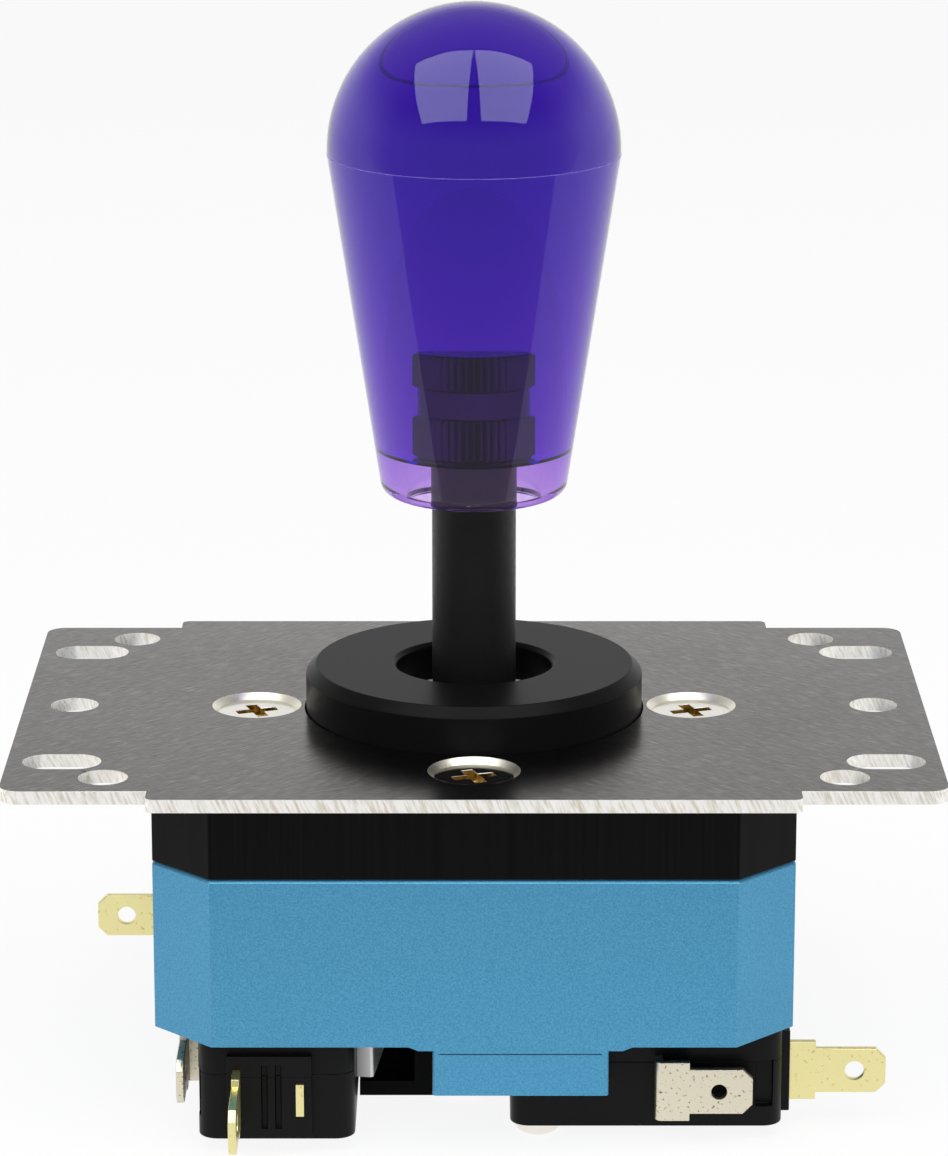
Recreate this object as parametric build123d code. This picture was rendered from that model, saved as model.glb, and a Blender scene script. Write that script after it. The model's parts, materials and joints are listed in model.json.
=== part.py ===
from build123d import *
import math
import os

# Arcade joystick lever: a clear bat handle on a steel shaft that tilts in a metal body,
# carried by a stainless mounting plate, with four snap switches in a pinwheel underneath.
# Millimetres. The origin is the centre of the mounting plate's top face, +Z points up
# along the shaft, and -Y is the side that faces the player.

# Mounting plate
plate_width = 95.25
plate_wing_depth = 59.8
plate_lap_x = 0.22
plate_lap_y = 0.12
plate_thick = 1.4
plate_corner = 2.0
plate_step_corner = 0.8
slot_inset_x = 5.625
slot_inset_y = 9.9
slot_length = 8.0
slot_width = 5.0
inner_hole_inset_x = 10.225
inner_hole_inset_y = 4.6
side_hole_inset = 5.325
panel_hole_radius = 2.5

# Screws that hold the plate and both housings together
plate_screw_circle = 23.0
plate_screw_radius = 2.0
plate_screw_head_radius = 4.1
plate_screw_length = 16.0
countersink_radius = 4.7
thread_gap = 0.05
driver_width = 1.2
driver_length = 4.4
driver_depth = 1.3

# Housings
body_chamfer = 6.04
upper_height = 7.03
lower_height = 17.81
edge_break = 0.4
collar_radius = 17.75
collar_height = 4.84
collar_chamfer = 1.05
collar_gap = 0.2
collar_bore = 8.2
bore_chamfer = 0.4
body_bore = 12.0
body_bore_chamfer = 1.0
lug_start = -4.2
lug_width = 17.8
lug_height = 5.2
lug_gap = 0.3
lug_line_height = 0.12
lug_line_depth = 0.3
lug_line_drop = 0.3
lug_line_inset = 0.7
lug_root_reach = 1.4
lug_root_slope = 1.0
lug_root_height = 0.4

# Ball joint
pivot_depth = 7.0
ball_radius = 9.0
ball_half_height = 7.2
seat_gap = 0.05
cup_radius = 14.0
cup_top = 7.8
cup_bottom = 7.3
cup_split = 0.1
cup_fit = 0.02
upper_cup_hole = 6.8
lower_cup_hole = 6.0
pin_radius = 1.25
pin_half_length = 10.8
pin_gap = 0.03
pin_slot_gap = 0.08
pin_slot_half_height = 3.2
pin_end_gap = 0.6
tilt_limit = 8.5

# Shaft
shaft_radius = 4.4
shaft_lower_radius = 3.5
shaft_step_below_pivot = 3.0
shaft_bottom = 29.9
shaft_end_chamfer = 0.6
shaft_fit = 0.02
stud_radius = 3.0
stud_length = 8.6
stud_gap = 0.05

# Bat handle and its moulded-in insert
handle_base = 23.3
handle_base_radius = 9.8
handle_seam = 59.2
handle_radius = 15.14
dome_band = 0.36
handle_edge = 1.5
recess_radius = 6.9
recess_depth = 4.85
insert_radius = 4.2
insert_neck_radius = 3.85
insert_lower_band = 4.7
insert_neck = 2.85
insert_upper_band = 3.9
insert_chamfer = 0.35
insert_teeth = 40
tooth_depth = 0.3
insert_fit = 0.02

# Centring spring, washers, actuator and clip
washer_thick = 0.8
top_washer_radius = 11.0
top_washer_hole = 6.2
spring_radius = 6.4
spring_wire = 0.6
spring_turns = 5
spring_facets = 12
spring_end_gap = 0.05
low_washer_radius = 7.6
actuator_radius = 7.0
actuator_waist = 6.2
actuator_height = 7.4
actuator_lap = 0.8
clip_thick = 0.7
clip_radius = 5.6
clip_groove = 0.5
clip_gap = 0.05

# Snap switches
switch_length = 27.8
switch_width = 15.9
switch_thick = 10.3
switch_cover_thick = 3.3
switch_clear = 12.1
switch_margin_side = 4.53
switch_margin_end = 1.03
switch_corner = 2.0
switch_wall = 1.4
mount_inset = 2.8
mount_hole = 1.55
hinge_inset = 7.0
hinge_height = 0.7
hinge_radius = 1.2
hinge_gap = 0.2
hinge_block = 1.7
hinge_block_round = 0.35
lever_rise = 1.1
lever_thick = 0.4
lever_width = 3.8
lever_reach = 26.5
lever_angle = 6.3
plunger_arm = 10.0
plunger_radius = 1.3
plunger_gap = 0.15
plunger_guide_gap = 0.1
plunger_inside = 3.6
plunger_travel = 1.45
plunger_break = 0.25
terminal_thick = 0.8
terminal_root = 6.3
terminal_blade = 4.75
terminal_drop = 0.5
common_inset = 4.0
common_root_length = 3.6
common_length = 10.8
common_hole = 1.0
common_tip = 3.2
open_place = 15.1
open_stand = 2.0
open_root_length = 3.1
open_blade_length = 6.4
open_hole = 0.8
open_tip = 3.4
terminal_nose = 1.0
terminal_inside = 2.8
frame_inset = 3.0
frame_width = 8.6
frame_below_body = 1.1
frame_height = 8.7
frame_stand = 0.9
frame_groove_width = 0.6
frame_groove_depth = 0.6
frame_groove_places = (3.5, 4.9)
frame_groove_margin = 0.9
stub_place = 10.4
stub_height = 3.4
stub_stand = 0.4
spare_slot_place = 25.0
spare_slot_width = 1.8
spare_slot_height = 5.0
spare_slot_depth = 1.0
switch_screw_radius = 1.45
switch_screw_length = 17.0
switch_screw_head = 2.4
switch_screw_head_height = 1.46
locating_pin_length = 15.0
locating_pin_recess = 0.8

# Restrictor gate
gate_thick = 1.6
gate_below_body = 10.7
gate_opening = 8.0
gate_opening_corner = 2.5
gate_switch_gap = 0.2
gate_front = 18.4
gate_right = 3.4
leg_left = 6.2
leg_back = 12.4
gate_screw_radius = 1.25
gate_screw_head = 2.3
gate_screw_length = 14.0

# The pinwheel of switches sets how wide the body is
body_width = 2 * (switch_clear + switch_width + switch_margin_side)
switch_back = -switch_clear
switch_front = switch_back - switch_width
switch_end = body_width / 2 - switch_margin_end
switch_start = switch_end - switch_length
plate_centre_width = body_width + 2 * plate_lap_x
plate_centre_depth = body_width + 2 * plate_lap_y
slot_x = plate_width / 2 - slot_inset_x
slot_y = plate_wing_depth / 2 - slot_inset_y
inner_hole_x = plate_width / 2 - inner_hole_inset_x
inner_hole_y = plate_wing_depth / 2 - inner_hole_inset_y
side_hole_x = plate_width / 2 - side_hole_inset
lug_end = lug_start + lug_width
gate_half_width = switch_clear - gate_switch_gap

# Levels that follow from the sizes above
pivot_z = -pivot_depth
upper_top = -plate_thick
upper_bottom = upper_top - upper_height
body_bottom = upper_bottom - lower_height
cup_ledge = pivot_z - cup_bottom
top_washer_bottom = cup_ledge - washer_thick
switch_bottom = body_bottom - switch_thick
switch_middle = body_bottom - switch_thick / 2
cover_bottom = body_bottom - switch_cover_thick
gate_bottom = body_bottom - gate_below_body
gate_top = gate_bottom + gate_thick
insert_bottom = handle_base + recess_depth
insert_length = insert_lower_band + insert_neck + insert_upper_band
lever_middle = switch_middle + lever_rise
actuator_bottom = lever_middle - lever_width / 2 - actuator_lap
actuator_top = actuator_bottom + actuator_height
low_washer_top = actuator_top + washer_thick
plate_screw_top = -(countersink_radius - plate_screw_head_radius)
terminal_z = switch_middle - terminal_drop

# A switch is drawn on the -Y side, and these places are for that one
hinge_x = switch_end - hinge_inset
hinge_y = switch_back + hinge_height
plunger_x = hinge_x - plunger_arm
screw_place = (switch_start + mount_inset, switch_front + mount_inset)
pin_place = (switch_end - mount_inset, switch_back - mount_inset)
sides = {"front": 0, "right": 90, "back": 180, "left": 270}


def disc(radius, low, high, x=0.0, y=0.0):
    """A cylinder from one level to another."""
    return Pos(x, y, low) * Cylinder(
        radius, high - low, align=(Align.CENTER, Align.CENTER, Align.MIN)
    )


def cone(low_radius, high_radius, low, high, x=0.0, y=0.0):
    """A cone frustum from one level to another."""
    return Pos(x, y, low) * Cone(
        low_radius, high_radius, high - low, align=(Align.CENTER, Align.CENTER, Align.MIN)
    )


def block(x0, x1, y0, y1, z0, z1):
    """A box between three pairs of limits."""
    return Pos(x0, y0, z0) * Box(
        x1 - x0, y1 - y0, z1 - z0, align=(Align.MIN, Align.MIN, Align.MIN)
    )


def turned(points):
    """A turned piece from its half section, given as radius and height pairs."""
    outline = Polyline(*[(r, 0, z) for r, z in points], close=True)
    return revolve(make_face(outline), Axis.Z)


def quarter_turns(piece):
    """The piece at each of the four sides, as a list of solids."""
    return [Rot(0, 0, angle) * piece for angle in sides.values()]


def edges_up(piece):
    """The edges that run along Z."""
    return piece.edges().filter_by(Axis.Z)


def driver_cross(top, length=driver_length, width=driver_width, depth=driver_depth, turn=0):
    """The cross recess that is cut into a screw head from its top."""
    arm = block(-length / 2, length / 2, -width / 2, width / 2, top - depth, top + 1)
    cross = arm + Rot(0, 0, 90) * arm
    return Rot(0, 0, turn) * cross


def mounting_plate():
    """The stamped steel plate: two wings, a wider middle and the panel holes."""
    wings = Rectangle(plate_width, plate_wing_depth)
    wings = fillet(wings.vertices(), plate_corner)
    middle = Rectangle(plate_centre_width, plate_centre_depth)
    middle = fillet(middle.vertices(), plate_step_corner)
    outline = wings + middle
    outline -= Circle(collar_radius + collar_gap)
    slot = SlotOverall(slot_length, slot_width)
    hole = Circle(panel_hole_radius)
    for right in (-1, 1):
        outline -= Pos(right * side_hole_x, 0) * hole
        for back in (-1, 1):
            outline -= Pos(right * slot_x, back * slot_y) * slot
            outline -= Pos(right * inner_hole_x, back * inner_hole_y) * hole
    plate = extrude(outline, -plate_thick)
    sink = plate_countersink()
    for cut in quarter_turns(sink):
        plate -= cut
    return plate


def plate_countersink():
    """The cone that the plate and the upper housing share under one plate screw."""
    depth = countersink_radius - plate_screw_radius - thread_gap
    return cone(
        plate_screw_radius + thread_gap, countersink_radius, -depth, 0, 0, -plate_screw_circle
    )


def plate_screws():
    """Four countersunk cross-head screws, with their heads sunk a little into the plate."""
    head_depth = plate_screw_head_radius - plate_screw_radius
    head = cone(plate_screw_radius, plate_screw_head_radius, plate_screw_top - head_depth, plate_screw_top)
    shank = disc(plate_screw_radius, plate_screw_top - plate_screw_length, plate_screw_top - head_depth)
    screw = head + shank - driver_cross(plate_screw_top, turn=20)
    return Compound(quarter_turns(Pos(0, -plate_screw_circle, 0) * screw))


def body_outline():
    """The square outline with cut corners that both housings share."""
    square = Rectangle(body_width, body_width)
    return chamfer(square.vertices(), body_chamfer)


def upper_housing():
    """The black top housing, with the collar that stands through the plate."""
    base = extrude(body_outline(), -upper_height)
    base = Pos(0, 0, upper_top) * base
    collar = disc(collar_radius, upper_top, collar_height)
    rim = collar.edges().filter_by(GeomType.CIRCLE).sort_by(Axis.Z)[-1]
    collar = chamfer(rim, collar_chamfer)
    housing = base + collar
    housing -= disc(collar_bore, upper_bottom, collar_height)
    housing -= cone(collar_bore, collar_bore + bore_chamfer, collar_height - bore_chamfer, collar_height)
    housing -= disc(cup_radius + cup_fit, upper_bottom, pivot_z + cup_top)
    sink = plate_countersink()
    shank_hole = disc(plate_screw_radius + thread_gap, upper_bottom, 0, 0, -plate_screw_circle)
    for cut in quarter_turns(sink + shank_hole):
        housing -= cut
    return housing


def switch_lug():
    """The lug behind one switch, with its wider root and a fine line across its face."""
    face = -body_width / 2
    depth = (face, switch_front - lug_gap)
    lug = block(lug_start, lug_end, *depth, body_bottom - lug_height, body_bottom)
    lug = fillet(edges_up(lug), edge_break)
    root = Polyline(
        (lug_start - lug_root_reach - lug_root_slope, body_bottom),
        (lug_start - lug_root_reach, body_bottom - lug_root_height),
        (lug_end + lug_root_reach, body_bottom - lug_root_height),
        (lug_end + lug_root_reach + lug_root_slope, body_bottom),
        close=True,
    )
    root = extrude(make_face(Plane.XZ * root), depth[0] - depth[1])
    lug += Pos(0, depth[0], 0) * root
    line_top = body_bottom - lug_root_height - lug_line_drop
    line = block(
        lug_start + lug_line_inset,
        lug_end - lug_line_inset,
        face - 1,
        face + lug_line_depth,
        line_top - lug_line_height,
        line_top,
    )
    return lug - line


def lower_housing():
    """The blue body block, with its bored middle and a lug that backs each switch."""
    block_body = Pos(0, 0, upper_bottom) * extrude(body_outline(), -lower_height)
    top_edges = block_body.faces().sort_by(Axis.Z)[-1].edges()
    block_body = chamfer(top_edges, edge_break)
    lug = switch_lug()
    for piece in quarter_turns(lug):
        block_body += piece
    block_body -= disc(cup_radius + cup_fit, cup_ledge, upper_bottom)
    block_body -= disc(body_bore, body_bottom, upper_bottom)
    block_body -= cone(
        body_bore + body_bore_chamfer, body_bore, body_bottom, body_bottom + body_bore_chamfer
    )
    screw_end = plate_screw_top - plate_screw_length
    holes = disc(plate_screw_radius + thread_gap, screw_end - 1, upper_bottom, 0, -plate_screw_circle)
    screw_top = switch_bottom + switch_screw_length + 1
    holes += disc(switch_screw_radius + thread_gap, body_bottom, screw_top, *screw_place)
    holes += disc(mount_hole, body_bottom, switch_bottom + locating_pin_length + 1, *pin_place)
    holes += disc(
        gate_screw_radius + thread_gap,
        body_bottom,
        gate_bottom + gate_screw_length + 1,
        *gate_screw_place(),
    )
    for cut in quarter_turns(holes):
        block_body -= cut
    return block_body


def ball_socket():
    """The space that the ball and the ends of its cross pin need inside the cups."""
    ball = Pos(0, 0, pivot_z) * Sphere(ball_radius + seat_gap)
    reach = pin_half_length + pin_end_gap
    half_width = pin_radius + pin_slot_gap
    slot = block(
        -reach,
        reach,
        -half_width,
        half_width,
        pivot_z - pin_slot_half_height,
        pivot_z + pin_slot_half_height,
    )
    return ball + slot


def upper_cup():
    """The plastic cup over the ball."""
    top = pivot_z + cup_top
    cup = disc(cup_radius, pivot_z + cup_split, top)
    cup -= ball_socket()
    cup -= disc(upper_cup_hole, pivot_z, top)
    return cup


def lower_cup():
    """The plastic cup under the ball, which also lines the two housings up."""
    cup = disc(cup_radius, cup_ledge, pivot_z - cup_split)
    cup -= ball_socket()
    cup -= disc(lower_cup_hole, cup_ledge, pivot_z)
    return cup


def pivot_pin():
    """The cross pin through ball and shaft, which keeps the shaft from turning."""
    pin = Pos(0, 0, pivot_z) * Rot(0, 90, 0) * Cylinder(pin_radius, 2 * pin_half_length)
    return chamfer(pin.edges().filter_by(GeomType.CIRCLE), 0.25)


def pin_bore():
    """The hole for the cross pin, through the ball and the shaft."""
    return Pos(0, 0, pivot_z) * Rot(0, 90, 0) * Cylinder(pin_radius + pin_gap, 2 * cup_radius)


def pivot_ball():
    """The steel ball, flat at both ends and bored for the stepped shaft."""
    ball = Pos(0, 0, pivot_z) * Sphere(ball_radius)
    ball &= disc(ball_radius, pivot_z - ball_half_height, pivot_z + ball_half_height)
    step = pivot_z - shaft_step_below_pivot
    ball -= disc(shaft_radius + shaft_fit, step, pivot_z + ball_half_height)
    ball -= disc(shaft_lower_radius + shaft_fit, pivot_z - ball_half_height, step)
    return ball - pin_bore()


def shaft():
    """The turned shaft: threaded stud, main length, thinner tail and clip groove."""
    step = pivot_z - shaft_step_below_pivot
    tail = pivot_z - shaft_bottom
    clip_top = actuator_bottom
    profile = [
        (0, tail),
        (shaft_lower_radius - shaft_end_chamfer, tail),
        (shaft_lower_radius, tail + shaft_end_chamfer),
        (shaft_lower_radius, clip_top - clip_thick - clip_gap),
        (shaft_lower_radius - clip_groove, clip_top - clip_thick - clip_gap),
        (shaft_lower_radius - clip_groove, clip_top),
        (shaft_lower_radius, clip_top),
        (shaft_lower_radius, step),
        (shaft_radius, step),
        (shaft_radius, insert_bottom - shaft_end_chamfer),
        (shaft_radius - shaft_end_chamfer, insert_bottom),
        (stud_radius, insert_bottom),
        (stud_radius, insert_bottom + stud_length - shaft_end_chamfer),
        (stud_radius - shaft_end_chamfer, insert_bottom + stud_length),
        (0, insert_bottom + stud_length),
    ]
    return turned(profile) - pin_bore()


def knurled_band(low, high):
    """One band of straight knurling, as a wheel of small teeth with its rims broken."""
    step = 2 * math.pi / insert_teeth
    points = []
    for tooth in range(insert_teeth):
        angle = tooth * step
        root = insert_radius - tooth_depth
        points.append((insert_radius * math.cos(angle), insert_radius * math.sin(angle)))
        points.append((root * math.cos(angle + step / 2), root * math.sin(angle + step / 2)))
    wheel = Pos(0, 0, low) * extrude(make_face(Polyline(*points, close=True)), high - low)
    blank = disc(insert_radius, low, high)
    return wheel & chamfer(blank.edges().filter_by(GeomType.CIRCLE), insert_chamfer)


def bat_insert():
    """The blind threaded insert: two knurled bands with a plain neck between them."""
    low_end = insert_bottom + insert_lower_band
    neck_end = low_end + insert_neck
    top = insert_bottom + insert_length
    insert = disc(insert_neck_radius, insert_bottom, top)
    insert += knurled_band(insert_bottom, low_end)
    insert += knurled_band(neck_end, top)
    bore_top = insert_bottom + stud_length + stud_gap
    return insert - disc(stud_radius + stud_gap, insert_bottom, bore_top)


def handle_section():
    """Half the outline of the handle's body: recess, rounded base and straight cone."""
    cone_slope = (handle_radius - handle_base_radius) / (handle_seam - handle_base)
    side_x = handle_base_radius + cone_slope * handle_edge
    side_z = handle_base + handle_edge
    flat_x = handle_base_radius - handle_edge
    turn = 1 - math.sqrt(0.5)
    base_arc = ThreePointArc(
        (flat_x, 0, handle_base),
        (side_x - turn * handle_edge, 0, handle_base + turn * handle_edge),
        (side_x, 0, side_z),
    )
    outline = [
        Polyline(
            (side_x, 0, side_z),
            (handle_radius, 0, handle_seam),
            (0, 0, handle_seam),
            (0, 0, insert_bottom),
            (recess_radius, 0, insert_bottom),
            (recess_radius, 0, handle_base),
            (flat_x, 0, handle_base),
        ),
        base_arc,
    ]
    return make_face(Wire.combine(outline, tol=0.001)[0])


def handle_body():
    """The clear conical body of the handle, moulded solid round its insert."""
    body = revolve(handle_section(), Axis.Z)
    low_end = insert_bottom + insert_lower_band
    neck_end = low_end + insert_neck
    top = insert_bottom + insert_length
    cavity = disc(insert_radius + insert_fit, insert_bottom, low_end + insert_fit)
    cavity += disc(insert_neck_radius + insert_fit, low_end, neck_end)
    cavity += disc(insert_radius + insert_fit, neck_end - insert_fit, top + insert_fit)
    return body - cavity


def handle_dome():
    """The clear dome that is bonded to the top of the body: a short band and a half ball."""
    band_top = handle_seam + dome_band
    ball = Pos(0, 0, band_top) * Sphere(handle_radius)
    half_ball = ball & disc(handle_radius, band_top, band_top + handle_radius)
    return disc(handle_radius, handle_seam, band_top) + half_ball


def top_washer():
    """The steel washer that the spring presses against the lower cup."""
    washer = disc(top_washer_radius, top_washer_bottom, cup_ledge)
    return washer - disc(top_washer_hole, top_washer_bottom, cup_ledge)


def low_washer():
    """The steel washer under the spring, on top of the actuator."""
    washer = disc(low_washer_radius, actuator_top, low_washer_top)
    return washer - disc(shaft_lower_radius + shaft_fit, actuator_top, low_washer_top)


def centring_spring():
    """The compression spring that stands the lever up again."""
    low = low_washer_top + spring_wire + spring_end_gap
    high = top_washer_bottom - spring_wire - spring_end_gap
    pitch = (high - low) / spring_turns
    path = Pos(0, 0, low) * Helix(pitch=pitch, height=high - low, radius=spring_radius)
    start = path @ 0
    section = Plane(origin=start, z_dir=path % 0) * RegularPolygon(spring_wire, spring_facets)
    return sweep(section, path=path, is_frenet=True)


def actuator():
    """The plastic barrel on the shaft's tail that pushes the switch levers."""
    bore = shaft_lower_radius + shaft_fit
    middle = lever_middle
    outline = [
        Line((bore, 0, actuator_bottom), (actuator_waist, 0, actuator_bottom)),
        ThreePointArc(
            (actuator_waist, 0, actuator_bottom),
            (actuator_radius, 0, middle),
            (actuator_waist, 0, 2 * middle - actuator_bottom),
        ),
        Line((actuator_waist, 0, 2 * middle - actuator_bottom), (actuator_waist, 0, actuator_top)),
        Line((actuator_waist, 0, actuator_top), (bore, 0, actuator_top)),
        Line((bore, 0, actuator_top), (bore, 0, actuator_bottom)),
    ]
    return revolve(make_face(Wire.combine(outline, tol=0.001)[0]), Axis.Z)


def retaining_clip():
    """The open ring in the shaft's groove that holds actuator and spring up."""
    ring = Circle(clip_radius) - Circle(shaft_lower_radius - clip_groove + clip_gap)
    mouth = 2 * (shaft_lower_radius - clip_groove - 0.4)
    ring -= Pos(clip_radius / 2 + 1, 0) * Rectangle(clip_radius + 2, mouth)
    low = actuator_bottom - clip_thick
    return Pos(0, 0, low) * extrude(ring, clip_thick)


def gate_screw_place():
    """Where the gate's screw stands on the -Y side."""
    return ((gate_right - leg_left) / 2, -(gate_front + leg_back) / 2)


def restrictor_gate():
    """The black square gate under the levers, on four legs between the switches."""
    plate = Rectangle(2 * gate_half_width, 2 * gate_half_width)
    wing_depth = gate_front - leg_back
    wing = Pos((gate_right - gate_half_width) / 2, -(gate_front + gate_half_width) / 2)
    wing *= Rectangle(gate_right + gate_half_width, gate_front - gate_half_width)
    for angle in sides.values():
        plate += Rot(0, 0, angle) * wing
    opening = Rectangle(2 * gate_opening, 2 * gate_opening)
    plate -= fillet(opening.vertices(), gate_opening_corner)
    gate = Pos(0, 0, gate_bottom) * extrude(plate, gate_thick)
    leg = block(-leg_left, gate_right, -gate_front, -gate_front + wing_depth, gate_bottom, body_bottom)
    x, y = gate_screw_place()
    hole = disc(gate_screw_radius + thread_gap, gate_bottom, body_bottom, x, y)
    sink_depth = gate_screw_head - gate_screw_radius
    hole += cone(
        gate_screw_head + thread_gap,
        gate_screw_radius + thread_gap,
        gate_bottom,
        gate_bottom + sink_depth,
        x,
        y,
    )
    for leg_piece in quarter_turns(leg):
        gate += leg_piece
    for cut in quarter_turns(hole):
        gate -= cut
    return gate


def gate_screws():
    """Four countersunk screws that hold the gate's legs to the body."""
    head_height = gate_screw_head - gate_screw_radius
    head = cone(gate_screw_head, gate_screw_radius, gate_bottom, gate_bottom + head_height)
    shank = disc(gate_screw_radius, gate_bottom + head_height, gate_bottom + gate_screw_length)
    cross = Rot(180, 0, 0) * driver_cross(-gate_bottom, 2.4, 0.7, 0.8)
    x, y = gate_screw_place()
    return Compound(quarter_turns(Pos(x, y, 0) * (head + shank - cross)))


def switch_screws():
    """Four pan-head screws, one through each switch into the body."""
    head_bottom = switch_bottom - switch_screw_head_height
    head = disc(switch_screw_head, head_bottom, switch_bottom)
    low_rim = head.edges().filter_by(GeomType.CIRCLE).sort_by(Axis.Z)[0]
    head = fillet(low_rim, 1.1)
    shank = disc(switch_screw_radius, switch_bottom, switch_bottom + switch_screw_length)
    cross = Rot(180, 0, 0) * driver_cross(-head_bottom, 3.0, 0.8, 1.2)
    x, y = screw_place
    return Compound(quarter_turns(Pos(x, y, 0) * (head + shank - cross)))


def locating_pins():
    """Four plain pins in the body that line up the second hole of each switch."""
    low = switch_bottom + locating_pin_recess
    pin = disc(mount_hole - thread_gap, low, switch_bottom + locating_pin_length, *pin_place)
    return Compound(quarter_turns(pin))


def switch_blank():
    """The outside of one switch, case and cover together."""
    outline = Pos(
        (switch_start + switch_end) / 2, (switch_front + switch_back) / 2
    ) * Rectangle(switch_length, switch_width)
    outline = fillet(outline.vertices(), switch_corner)
    blank = Pos(0, 0, switch_bottom) * extrude(outline, switch_thick)
    blank += terminal_frame()
    blank -= disc(mount_hole, switch_bottom, body_bottom, *screw_place)
    blank -= disc(mount_hole, switch_bottom, body_bottom, *pin_place)
    notch_radius = hinge_radius + hinge_gap
    half_width = lever_width / 2 + hinge_gap
    low = lever_middle - half_width
    high = lever_middle + half_width
    blank -= disc(notch_radius, low, high, hinge_x, hinge_y)
    guide_depth = plunger_inside + plunger_travel + plunger_gap
    blank -= disc(plunger_radius + plunger_guide_gap, 0, guide_depth).moved(plunger_frame())
    blank -= block(
        switch_start + spare_slot_place,
        switch_start + spare_slot_place + spare_slot_width,
        switch_front,
        switch_front + spare_slot_depth,
        terminal_z - spare_slot_height / 2,
        terminal_z + spare_slot_height / 2,
    )
    return blank


def terminal_frame():
    """The raised frame round the terminals at the end of the switch, with two grooves."""
    start = switch_front + frame_inset
    top = body_bottom - frame_below_body
    low = top - frame_height
    inner = switch_end - switch_corner
    frame = block(inner, switch_end + frame_stand, start, start + frame_width, low, top)
    for place in frame_groove_places:
        frame -= block(
            switch_end + frame_stand - frame_groove_depth,
            switch_end + frame_stand,
            start + place,
            start + place + frame_groove_width,
            low + frame_groove_margin,
            top - frame_groove_margin,
        )
    return frame


def plunger_frame():
    """A frame at the switch's inner face whose Z points into the switch."""
    return Location((plunger_x, switch_back, lever_middle), (90, 0, 0))


def switch_case():
    """The black moulded case of one switch, below the parting line."""
    case = switch_blank()
    outer_end = switch_end + frame_stand
    case &= block(switch_start, outer_end, switch_front, switch_back, switch_bottom, cover_bottom)
    return case - terminal_seats()


def switch_cover():
    """The black cover of one switch, between its case and the body."""
    cover = switch_blank()
    outer_end = switch_end + frame_stand
    cover &= block(switch_start, outer_end, switch_front, switch_back, cover_bottom, body_bottom)
    return cover - terminal_seats()


def blade(length, root_length, hole_radius, hole_place):
    """A flat terminal along +X in the XZ plane: wide root, narrower blade, cut corners."""
    half_root = terminal_root / 2
    half = terminal_blade / 2
    nose = terminal_nose
    outline = Polyline(
        (0, -half_root),
        (root_length, -half_root),
        (root_length, -half),
        (length - nose, -half),
        (length, -half + nose),
        (length, half - nose),
        (length - nose, half),
        (root_length, half),
        (root_length, half_root),
        (0, half_root),
        close=True,
    )
    flat = make_face(outline) - Pos(hole_place, 0) * Circle(hole_radius)
    return Rot(90, 0, 0) * extrude(flat, terminal_thick / 2, both=True)


def terminal_seats():
    """The slots in the switch that its three metal pieces sit in."""
    return common_seat(frame_stand) + open_seat() + stub_block(-terminal_inside, frame_stand)


def common_place():
    """Where the common terminal leaves the end of the switch."""
    return Pos(switch_end, switch_front + common_inset, terminal_z)


def common_seat(reach=0.0):
    """The part of the common terminal inside the switch, or further out by the reach."""
    half = terminal_thick / 2
    root = terminal_root / 2
    return common_place() * block(-terminal_inside, reach, -half, half, -root, root)


def common_terminal():
    """The brass common terminal, straight out of the end of the switch."""
    tab = blade(common_length, common_root_length, common_hole, common_length - common_tip)
    return common_place() * tab + common_seat()


def open_place_x():
    """Where the second terminal leaves the outer face of the switch."""
    return switch_start + open_place


def open_seat(reach=0.0):
    """The part of the second terminal inside the switch, or further out by the reach."""
    x = open_place_x()
    half = terminal_thick / 2
    root = terminal_root / 2
    front = switch_front - reach
    back = switch_front + terminal_inside
    return block(x - half, x + half, front, back, terminal_z - root, terminal_z + root)


def open_terminal():
    """The plated second terminal, which turns a corner and runs along the switch."""
    stem = open_seat(open_stand + terminal_thick / 2)
    length = open_root_length + open_blade_length
    tab = blade(length, open_root_length, open_hole, length - open_tip)
    piece = stem + Pos(open_place_x(), switch_front - open_stand, terminal_z) * tab
    corner = edges_up(piece).sort_by(lambda e: (e @ 0.5).X + (e @ 0.5).Y)[0]
    return fillet(corner, terminal_thick * 0.9)


def stub_block(inner, outer):
    """A length of the contact stub, from one depth to another at the end of the switch."""
    y = switch_front + stub_place
    half = terminal_thick / 2
    low = terminal_z - stub_height / 2
    high = terminal_z + stub_height / 2
    return block(switch_end + inner, switch_end + outer, y - half, y + half, low, high)


def contact_stub():
    """The short brass end of the contact that has no terminal here."""
    return stub_block(-terminal_inside, frame_stand + stub_stand)


def switch_lever():
    """The steel lever: a folded hinge end and a flat arm that leans in to the actuator."""
    low = lever_middle - lever_width / 2
    high = lever_middle + lever_width / 2
    half = hinge_block / 2
    fold = block(-half, half, -half, hinge_radius, low, high)
    fold = fillet(edges_up(fold), hinge_block_round)
    arm = block(-lever_reach, 0, hinge_radius - lever_thick, hinge_radius, low, high)
    return Pos(hinge_x, hinge_y, 0) * Rot(0, 0, -lever_angle) * (fold + arm)


def switch_plunger():
    """The small plastic plunger between the lever and the snap blade."""
    lean = math.radians(lever_angle)
    lever_side = hinge_radius - lever_thick
    contact = plunger_arm * math.tan(lean) + lever_side / math.cos(lean)
    lowest = contact - plunger_radius * math.tan(lean)
    stand = hinge_height + lowest - plunger_gap
    rod = disc(plunger_radius, -stand, plunger_inside)
    rod = chamfer(rod.edges().filter_by(GeomType.CIRCLE), plunger_break)
    return rod.moved(plunger_frame())


def write(name, shape):
    """Writes one node as a STEP file."""
    export_step(shape, f"parts/{name}.step")


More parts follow.
